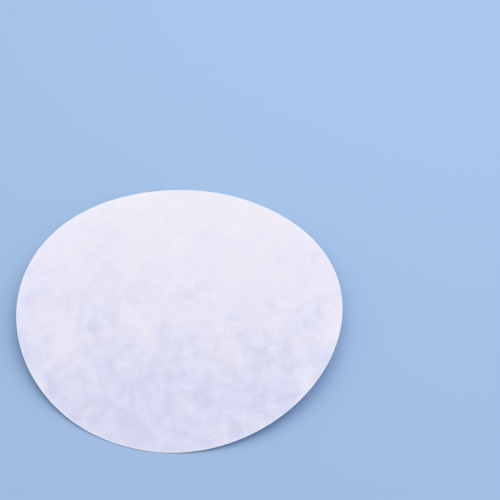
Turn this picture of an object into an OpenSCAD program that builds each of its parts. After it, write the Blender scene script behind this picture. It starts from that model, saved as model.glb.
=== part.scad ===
// Filter paper disc: one sheet of thin cotton paper, die-cut round.
// It lies with its middle band flat and a soft curl lifting the two sides.
// Millimetres, +Z up. The origin is at the centre of the flat band, on its
// underside, and the trough of the curl runs along Y.

/* [Disc] */
// Diameter of the disc, seen from above
disc_d = 150; // [55:1:320]
// Thickness of the paper
paper_t = 0.18; // [0.12:0.01:0.4]

/* [Curl] */
// Width of the flat band that the disc rests on
flat_w = 16; // [6:1:50]
// Radius of the curl on each side of the flat band
curl_r = 300; // [180:5:2000]

/* [Hidden] */
paper_white = [0.89, 0.89, 0.95];
$fn = 256;

// Section across a trough: a flat floor at curl_r - r, and a wall of radius r
// on each side, both centred at the height curl_r. Its upper half mirrors it.
module trough_section(r) {
    translate([-flat_w / 2, curl_r - r]) square([flat_w, 2 * r]);
    for (side = [-1, 1])
        translate([side * flat_w / 2, curl_r]) circle(r);
}

// The curled web that the disc is cut from, one paper thickness deep
module curled_web() {
    rotate([90, 0, 0])
        linear_extrude(disc_d + 2 * paper_t, center = true)
            difference() {
                trough_section(curl_r);
                trough_section(curl_r - paper_t);
            }
}

// The die that cuts the disc. It stops at the height of the curl's centres,
// so it meets only the lower half of the web.
module round_die() {
    translate([0, 0, -paper_t])
        cylinder(d = disc_d, h = curl_r);
}

module paper_disc() {
    color(paper_white)
        intersection() {
            round_die();
            curled_web();
        }
}

paper_disc();
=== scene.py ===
import math

import bpy
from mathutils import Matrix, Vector


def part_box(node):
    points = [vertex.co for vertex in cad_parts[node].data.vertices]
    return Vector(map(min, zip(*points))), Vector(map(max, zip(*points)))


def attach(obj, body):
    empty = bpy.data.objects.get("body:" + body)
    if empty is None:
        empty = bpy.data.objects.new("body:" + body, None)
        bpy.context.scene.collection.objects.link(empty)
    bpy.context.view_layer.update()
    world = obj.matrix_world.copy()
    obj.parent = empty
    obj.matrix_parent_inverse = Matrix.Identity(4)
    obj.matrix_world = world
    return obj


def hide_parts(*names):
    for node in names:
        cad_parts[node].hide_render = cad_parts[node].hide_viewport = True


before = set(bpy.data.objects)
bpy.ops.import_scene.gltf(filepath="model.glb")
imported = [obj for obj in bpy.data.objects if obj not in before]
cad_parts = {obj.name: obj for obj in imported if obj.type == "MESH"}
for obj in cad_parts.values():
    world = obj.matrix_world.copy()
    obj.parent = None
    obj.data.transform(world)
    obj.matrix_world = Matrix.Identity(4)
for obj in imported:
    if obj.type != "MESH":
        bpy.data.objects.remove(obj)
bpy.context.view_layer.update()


# Camera.
# It looks down on the sheet from in front, and aims to its right and beyond
# it, so that the disc lies towards the lower left of the view.
sheet_low, sheet_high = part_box("paper_disc")
disc_radius = (sheet_high.x - sheet_low.x) / 2
disc_centre = Vector(((sheet_low.x + sheet_high.x) / 2, (sheet_low.y + sheet_high.y) / 2, sheet_low.z))

camera_azimuth = math.radians(13.5)
camera_pitch = math.radians(51.4)
camera_distance = 9.26 * disc_radius
camera_lens = 104            # millimetres, as is the sensor
camera_sensor = 36
camera_nearest = 0.01
aim_right = 0.432 * disc_radius
aim_beyond = 0.497 * disc_radius

rightwards = Vector((math.cos(camera_azimuth), math.sin(camera_azimuth), 0))
onwards = Vector((-math.sin(camera_azimuth), math.cos(camera_azimuth), 0))
backwards = Vector((0, 0, math.sin(camera_pitch))) - math.cos(camera_pitch) * onwards
aim = disc_centre + aim_right * rightwards + aim_beyond * onwards

bpy.ops.object.camera_add(location=aim + camera_distance * backwards)
camera = bpy.context.object
camera.name = "camera"
camera.rotation_euler = (math.pi / 2 - camera_pitch, 0, camera_azimuth)
camera.data.sensor_width = camera_sensor
camera.data.lens = camera_lens
camera.data.clip_start = camera_nearest
bpy.context.scene.camera = camera


# The filter paper.
# One sheet of unfilled cellulose paper, formed on a wire, dried on a felt and
# die-cut round. It lies on a flat middle band, and both sides curl up softly.
paper_thickness = 0.00018
flat_band = 0.016
curl_radius = 0.300
rim_points = 640             # points round the cut edge
cockle_breadth = 0.045       # the slight waves that drying leaves
cockle_height = 0.00035
floc_breadth = 0.0056        # the clumps of fibre that make the sheet cloudy
floc_height = 0.00003
cut_rounding = 0.00004       # the die leaves the cut edge a little round
cut_rounding_steps = 2
sharp_from = math.radians(60)          # an edge that turns this much is rounded
smooth_up_to = math.radians(40)        # and one that turns less than this looks smooth


def raise_pattern(piece, name, breadth, height, direction):
    """Raises and sinks the piece's surface by a cloudy pattern of this breadth and height."""
    pattern = bpy.data.textures.new(name, "CLOUDS")
    pattern.noise_scale = breadth
    relief = piece.modifiers.new(name, "DISPLACE")
    relief.texture = pattern
    relief.texture_coords = "LOCAL"
    relief.direction = direction
    relief.strength = height
    bpy.ops.object.modifier_apply(modifier=name)


bpy.ops.object.select_all(action="DESELECT")
bpy.ops.mesh.primitive_circle_add(
    vertices=rim_points, radius=disc_radius, fill_type="NOTHING", calc_uvs=False,
)
paper = bpy.context.object
paper.name = "filter_paper"
bpy.ops.object.mode_set(mode="EDIT")
bpy.ops.mesh.select_all(action="SELECT")
bpy.ops.mesh.fill_grid(span=rim_points // 4)
bpy.ops.mesh.select_all(action="SELECT")
bpy.ops.mesh.normals_make_consistent(inside=False)
bpy.ops.object.mode_set(mode="OBJECT")

raise_pattern(paper, "cockle", cockle_breadth, cockle_height, "Z")

for point in paper.data.vertices:
    beyond_band = max(abs(point.co.x) - flat_band / 2, 0)
    point.co.z += curl_radius - math.sqrt(curl_radius**2 - beyond_band**2)

sheet = paper.modifiers.new("thickness", "SOLIDIFY")
sheet.thickness = paper_thickness
sheet.offset = 1
sheet.use_even_offset = True
bpy.ops.object.modifier_apply(modifier="thickness")

raise_pattern(paper, "flocs", floc_breadth, floc_height, "NORMAL")

rounding = paper.modifiers.new("cut_rounding", "BEVEL")
rounding.width = cut_rounding
rounding.segments = cut_rounding_steps
rounding.limit_method = "ANGLE"
rounding.angle_limit = sharp_from
bpy.ops.object.modifier_apply(modifier="cut_rounding")

lowest = min(point.co.z for point in paper.data.vertices)
for point in paper.data.vertices:
    point.co += disc_centre - Vector((0, 0, lowest))
bpy.ops.object.shade_smooth_by_angle(angle=smooth_up_to)

# Finish of the paper: cloudy where the fibres lie thick and thin, with a felt
# of single fibres on top of that, painted light that whitens it towards its far side, and a
# whiter cut edge, partly pressed fibres and partly a painted highlight.
thick_white = (0.856, 0.821, 0.930)
thin_white = (0.708, 0.712, 0.925)
show_through = (0.625, 0.650, 0.868)   # where the blue table shows through the thinnest spots
# painted highlight: a band along the cut edge and the cut edge itself are painted whiter, partly for
# fibres that the die pressed and partly for an edge catching the light
pressed_white_and_highlight = (0.85, 0.87, 0.96)
pressed_and_highlight_width = 0.0010
pulp_shift = (1.66, 3.36, 0.53)        # takes the patterns' own middle off the sheet
web_angle = math.radians(14)           # the web ran this way, and its fibres lie a little along it
web_stretch = 1.2

cloudy_middle = 0.5                    # the middle of every cloudy value
cloud_detail = 3                       # rounds of finer clouds on the broad ones
cloud_roughness = 0.5                  # how strong each round is beside the one before
cloud_breadth = 0.020
cloud_range = (0.20, 0.80)             # from the thinnest to the thickest cloud
painted_light_and_calm_lean = (-0.05, 0.25, 0.0)        # painted light: the sheet is painted whiter and a little less blue towards its far side, as if the lamp beyond lit it more; the lean also calms the clouds there
swing_lean = (-0.25, 0.125)            # from the lean at the near side to where the sheet lies evenly
cloud_swing = (1.55, 0.3)              # how strong the clouds are at these two
thin_spot_breadth = 0.0105
thin_spot_roughness = 0.48
thin_spot_range = (0.28, 0.52)         # from the middle of a thin spot to its edge
thin_spot_depth = 0.55                 # how far its middle goes towards show_through
thin_cloudiness = 1.3                  # a thin part shows its spots and flocs more
thick_cloudiness = 0.12
floc_range = (0.2, 0.8)                # from the darkest to the lightest floc
floc_distortion = 0.2

ground_shade = 0.975                   # between the flocs and the fibres
floc_shade = 0.046                     # what a floc takes off or adds
bundle_shade = 0.028
fibre_shade = 0.070

fibre_length = 0.0030
fibre_spacing = 0.0008
fibre_thickness = 0.00005
bundle_length = 0.0070
bundle_spacing = 0.0022
bundle_thickness = 0.00022
fibre_angles = (8, 38, 67, 99, 127, 158)   # degrees
curl_breadth = 0.0025                  # the curls that the fibres dried in
curl_reach = 0.0009
curl_detail = 1

tooth_breadth = 0.0005                 # the fine tooth of an uncoated sheet
tooth_roughness = 0.6
fibre_height = 0.5                     # beside the tooth's height
wire_pitch = 0.00045                   # from wire to wire in the cloth that the sheet was formed on
wire_height = 0.3
wave_period = 2 * math.pi / 20         # of the wave pattern at a scale of 1
relief_depth = 0.00010
relief_strength = 0.6
low_and_high = (0.2, 1.2)              # the relief's own range
matt_and_smooth = (0.97, 0.86)         # roughness of the hollows and of the raised fibres
paper_gloss = 0.25
light_let_in = 0.3                     # the share of the light that spreads inside the sheet
light_spread = 0.0005


def add(tree, kind, inputs, **settings):
    """Adds a shader node with these settings, and fills or joins its inputs by name or by place."""
    made = tree.nodes.new("ShaderNode" + kind)
    for setting, value in settings.items():
        setattr(made, setting, value)
    for name, value in inputs.items():
        if isinstance(value, bpy.types.NodeSocket):
            tree.links.new(value, made.inputs[name])
        else:
            made.inputs[name].default_value = value
    return made


def calculate(tree, operation, first, second):
    return add(tree, "Math", {0: first, 1: second}, operation=operation).outputs[0]


def add_share(tree, total, value, share):
    """The total with this share of the value added."""
    return add(tree, "Math", {0: value, 1: share, 2: total}, operation="MULTIPLY_ADD").outputs[0]


def speckle(tree, where, breadth, detail, roughness, distortion=0.0):
    """A cloudy value from 0 to 1, whose clouds are about this breadth."""
    clouds = add(tree, "TexNoise", {
        "Vector": where, "Scale": 1 / breadth, "Detail": detail,
        "Roughness": roughness, "Distortion": distortion,
    })
    return clouds.outputs[0]


def stretch_range(tree, value, old, new):
    """Maps the old range to the new one, with a soft start and end."""
    mapped = add(tree, "MapRange", {
        "Value": value, "From Min": old[0], "From Max": old[1], "To Min": new[0], "To Max": new[1],
    }, interpolation_type="SMOOTHSTEP")
    return mapped.outputs[0]


def mix_tints(tree, share, first, second):
    """The first tint where the share is 0, and the second where it is 1."""
    ends = [(*tint, 1) if isinstance(tint, tuple) else tint for tint in (first, second)]
    return add(tree, "Mix", {0: share, 6: ends[0], 7: ends[1]}, data_type="RGBA").outputs[2]


def curled(tree, where):
    """The same places, each moved a little aside, so that straight lines drawn there curl."""
    aside = add(tree, "TexNoise", {
        "Vector": where, "Scale": 1 / curl_breadth, "Detail": curl_detail,
    }).outputs[1]
    aside = add(tree, "VectorMath", {0: aside, 1: [cloudy_middle] * 3}, operation="SUBTRACT").outputs[0]
    aside = add(tree, "VectorMath", {0: aside, "Scale": curl_reach}, operation="SCALE").outputs[0]
    return add(tree, "VectorMath", {0: where, 1: aside}, operation="ADD").outputs[0]


def fibres(tree, where, length, spacing, thickness):
    """Fibres that cross in every direction: 1 along a fibre, 0 between them."""
    felted = 0.0
    for angle in fibre_angles:
        along = add(tree, "Mapping", {
            "Vector": where, "Rotation": (0, 0, math.radians(angle)),
            "Scale": (length, spacing, spacing),
        }, vector_type="TEXTURE")
        waves = speckle(tree, along.outputs[0], 1, 0, cloud_roughness)
        off_line = calculate(tree, "ABSOLUTE", calculate(tree, "SUBTRACT", waves, cloudy_middle), 0.0)
        line = stretch_range(tree, off_line, (0.0, thickness / spacing), (1.0, 0.0))
        felted = calculate(tree, "MAXIMUM", line, felted)
    return felted


def pulp_tint(tree, from_middle, place, fibre, bundle):
    """The colour of the felted pulp, whiter and calmer where the sheet is thick, with painted light that
    makes it whiter towards the far side.
    """
    lean = add(tree, "VectorMath", {0: from_middle, 1: painted_light_and_calm_lean}, operation="DOT_PRODUCT")
    lean = calculate(tree, "DIVIDE", lean.outputs["Value"], disc_radius)
    swing = stretch_range(tree, lean, swing_lean, cloud_swing)
    clouds = speckle(tree, place, cloud_breadth, cloud_detail, cloud_roughness)
    clouds = calculate(tree, "SUBTRACT", clouds, cloudy_middle)
    # the lean adds painted light to the thick and thin clouds: whiter towards the far side, darker towards
    # the viewer
    thickness = add_share(tree, calculate(tree, "ADD", lean, cloudy_middle), clouds, swing)
    thickness = stretch_range(tree, thickness, cloud_range, (0.0, 1.0))
    cloudiness = stretch_range(tree, thickness, (0.0, 1.0), (thin_cloudiness, thick_cloudiness))

    thin_spots = speckle(tree, place, thin_spot_breadth, cloud_detail, thin_spot_roughness)
    thin_spots = stretch_range(tree, thin_spots, thin_spot_range, (thin_spot_depth, 0.0))
    thin_spots = calculate(tree, "MULTIPLY", thin_spots, cloudiness)
    tint = mix_tints(tree, thickness, thin_white, thick_white)
    tint = mix_tints(tree, thin_spots, tint, show_through)

    flocs = speckle(tree, place, floc_breadth, cloud_detail, cloud_roughness, floc_distortion)
    flocs = stretch_range(tree, flocs, floc_range, (-floc_shade, floc_shade))
    shade = add_share(tree, ground_shade, flocs, cloudiness)
    shade = add_share(tree, shade, bundle, bundle_shade)
    shade = add_share(tree, shade, fibre, fibre_shade)
    return add(tree, "VectorMath", {0: tint, "Scale": shade}, operation="SCALE").outputs[0]


def pressed_rim_and_highlight(tree, from_middle):
    """1 at the cut edge, where the die pressed the sheet and a painted highlight lies along it, and 0
    inside it.
    """
    flat_place = add(tree, "VectorMath", {0: from_middle, 1: (1, 1, 0)}, operation="MULTIPLY").outputs[0]
    off_centre = add(tree, "VectorMath", {0: flat_place}, operation="LENGTH").outputs["Value"]
    return stretch_range(tree, off_centre, (disc_radius - pressed_and_highlight_width, disc_radius), (0.0, 1.0))


def wire_weave(tree, from_middle, relief):
    """The relief with the print of the wire cloth that the wet sheet lay on."""
    along_web = add(tree, "Mapping", {
        "Vector": from_middle, "Rotation": (0, 0, web_angle),
    }, vector_type="TEXTURE").outputs[0]
    for direction in ("X", "Y"):
        wires = add(tree, "TexWave", {
            "Vector": along_web, "Scale": wave_period / wire_pitch, "Distortion": 0.0,
        }, bands_direction=direction)
        relief = add_share(tree, relief, wires.outputs[1], wire_height)
    return relief


def paper_finish(name, wire_side=False, cut_edge=False):
    """One side of the sheet, or the edge that the die cut."""
    made = bpy.data.materials.new(name)
    made.use_nodes = True
    tree = made.node_tree
    shader = tree.nodes["Principled BSDF"]
    from_middle = add(tree, "TexCoord", {}).outputs["Object"]
    along_web = add(tree, "Mapping", {
        "Vector": from_middle, "Rotation": (0, 0, web_angle), "Scale": (1, web_stretch, 1),
    }, vector_type="TEXTURE").outputs[0]
    place = add(tree, "VectorMath", {0: along_web, 1: pulp_shift}, operation="ADD").outputs[0]
    curly_place = curled(tree, place)
    fibre = fibres(tree, curly_place, fibre_length, fibre_spacing, fibre_thickness)
    bundle = fibres(tree, curly_place, bundle_length, bundle_spacing, bundle_thickness)

    # the cut edge is painted wholly whiter: pressed fibres and a painted highlight
    pressed_and_highlight = 1.0 if cut_edge else pressed_rim_and_highlight(tree, from_middle)
    tint = pulp_tint(tree, from_middle, place, fibre, bundle)
    tree.links.new(mix_tints(tree, pressed_and_highlight, tint, pressed_white_and_highlight), shader.inputs["Base Color"])

    tooth = speckle(tree, place, tooth_breadth, cloud_detail, tooth_roughness)
    relief = add_share(tree, tooth, fibre, fibre_height)
    if wire_side:
        relief = wire_weave(tree, from_middle, relief)
    bump = add(tree, "Bump", {"Strength": relief_strength, "Distance": relief_depth, "Height": relief})
    tree.links.new(bump.outputs[0], shader.inputs["Normal"])
    tree.links.new(stretch_range(tree, relief, low_and_high, matt_and_smooth), shader.inputs["Roughness"])
    shader.inputs["Specular IOR Level"].default_value = paper_gloss
    shader.inputs["Subsurface Weight"].default_value = light_let_in
    shader.inputs["Subsurface Radius"].default_value = (1.0, 1.0, 1.0)
    shader.inputs["Subsurface Scale"].default_value = light_spread
    return made


steepest_side = 0.5                    # a face whose normal rises less than this is cut edge
felt_slot = 0
wire_slot = 1
edge_slot = 2
paper.data.materials.append(paper_finish("filter_paper_felt_side"))
paper.data.materials.append(paper_finish("filter_paper_wire_side", wire_side=True))
paper.data.materials.append(paper_finish("filter_paper_cut_edge", cut_edge=True))
for face in paper.data.polygons:
    if abs(face.normal.z) < steepest_side:
        face.material_index = edge_slot
    elif face.normal.z < 0:
        face.material_index = wire_slot

# The sheet laid out flat for its finish to be stored in: the felt side large, the wire
# side smaller in the opposite corner, and the cut edge as a thin ring round the felt side.
felt_reach = 0.345
wire_reach = 0.215
edge_gap = 0.004
edge_reach = 0.006
felt_middle = Vector((felt_reach + 2 * edge_reach, felt_reach + 2 * edge_reach))
wire_middle = Vector((1, 1)) - Vector((wire_reach + edge_gap, wire_reach + edge_gap))

layout = paper.data.uv_layers.new(name="OFBake")
for face in paper.data.polygons:
    for corner in face.loop_indices:
        point = paper.data.vertices[paper.data.loops[corner].vertex_index]
        out = (point.co - disc_centre).xy / disc_radius
        if face.material_index == felt_slot:
            spot = felt_middle + felt_reach * out
        elif face.material_index == wire_slot:
            spot = wire_middle + wire_reach * Vector((out.x, -out.y))
        else:
            down_the_edge = (1 - point.normal.z) / 2
            spot = felt_middle + (felt_reach + edge_gap + edge_reach * down_the_edge) * out.normalized()
        layout.uv[corner].vector = spot

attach(paper, "root")
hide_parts("paper_disc")


# The table and the light.
# A plain pale table top that fades evenly into the room, a soft bright room, and one
# broad soft lamp beyond the sheet, so that the light falls off gently towards the viewer.
table_gap = 0.00005
table_size = 60
table_blue = (0.36, 0.52, 0.77)
table_roughness = 0.9
table_gloss = 0.2
fade_from = 0.15             # the table fades into the room between these distances
fade_to = 0.55
room_white = (0.975, 0.985, 1.0)
room_strength = 0.745
lamp_place = (0.10, 0.34, 0.52)
lamp_size = 0.9
lamp_power = 2.25
lamp_white = (1.0, 0.985, 0.965)

bpy.ops.object.select_all(action="DESELECT")
bpy.ops.mesh.primitive_plane_add(size=table_size, location=(0, 0, -table_gap))
table = bpy.context.object
table.name = "table_top"
table_finish = bpy.data.materials.new("plain_pale_table")
table_finish.use_nodes = True
table_shader = table_finish.node_tree.nodes["Principled BSDF"]
table_shader.inputs["Base Color"].default_value = (*table_blue, 1)
table_shader.inputs["Roughness"].default_value = table_roughness
table_shader.inputs["Specular IOR Level"].default_value = table_gloss
table_tree = table_finish.node_tree
from_sheet = add(table_tree, "VectorMath", {
    0: add(table_tree, "TexCoord", {}).outputs["Object"],
}, operation="LENGTH").outputs["Value"]
faded = stretch_range(table_tree, from_sheet, (fade_from, fade_to), (0.0, 1.0))
faded = calculate(table_tree, "MULTIPLY", faded, add(table_tree, "LightPath", {}).outputs["Is Camera Ray"])
even_blue = add(table_tree, "Emission", {"Color": (*table_blue, 1), "Strength": 1.0}).outputs[0]
blended = add(table_tree, "MixShader", {0: faded, 1: table_shader.outputs[0], 2: even_blue})
table_tree.links.new(blended.outputs[0], table_tree.nodes["Material Output"].inputs["Surface"])
table.data.materials.append(table_finish)

room = bpy.data.worlds.new("soft_room")
bpy.context.scene.world = room
room.use_nodes = True
room_light = room.node_tree.nodes["Background"]
room_light.inputs["Color"].default_value = (*room_white, 1)
room_light.inputs["Strength"].default_value = room_strength
seen_wall = add(room.node_tree, "Background", {"Color": (*table_blue, 1), "Strength": 1.0})
straight_view = add(room.node_tree, "LightPath", {}).outputs["Is Camera Ray"]
blended = add(room.node_tree, "MixShader", {
    0: straight_view, 1: room_light.outputs[0], 2: seen_wall.outputs[0],
})
room.node_tree.links.new(blended.outputs[0], room.node_tree.nodes["World Output"].inputs["Surface"])

bpy.ops.object.light_add(type="AREA", location=lamp_place)
lamp = bpy.context.object
lamp.name = "soft_lamp"
lamp.data.energy = lamp_power
lamp.data.size = lamp_size
lamp.data.color = lamp_white
lamp.rotation_euler = (disc_centre - lamp.location).to_track_quat("-Z", "Y").to_euler()

bpy.context.scene.view_settings.view_transform = "Standard"
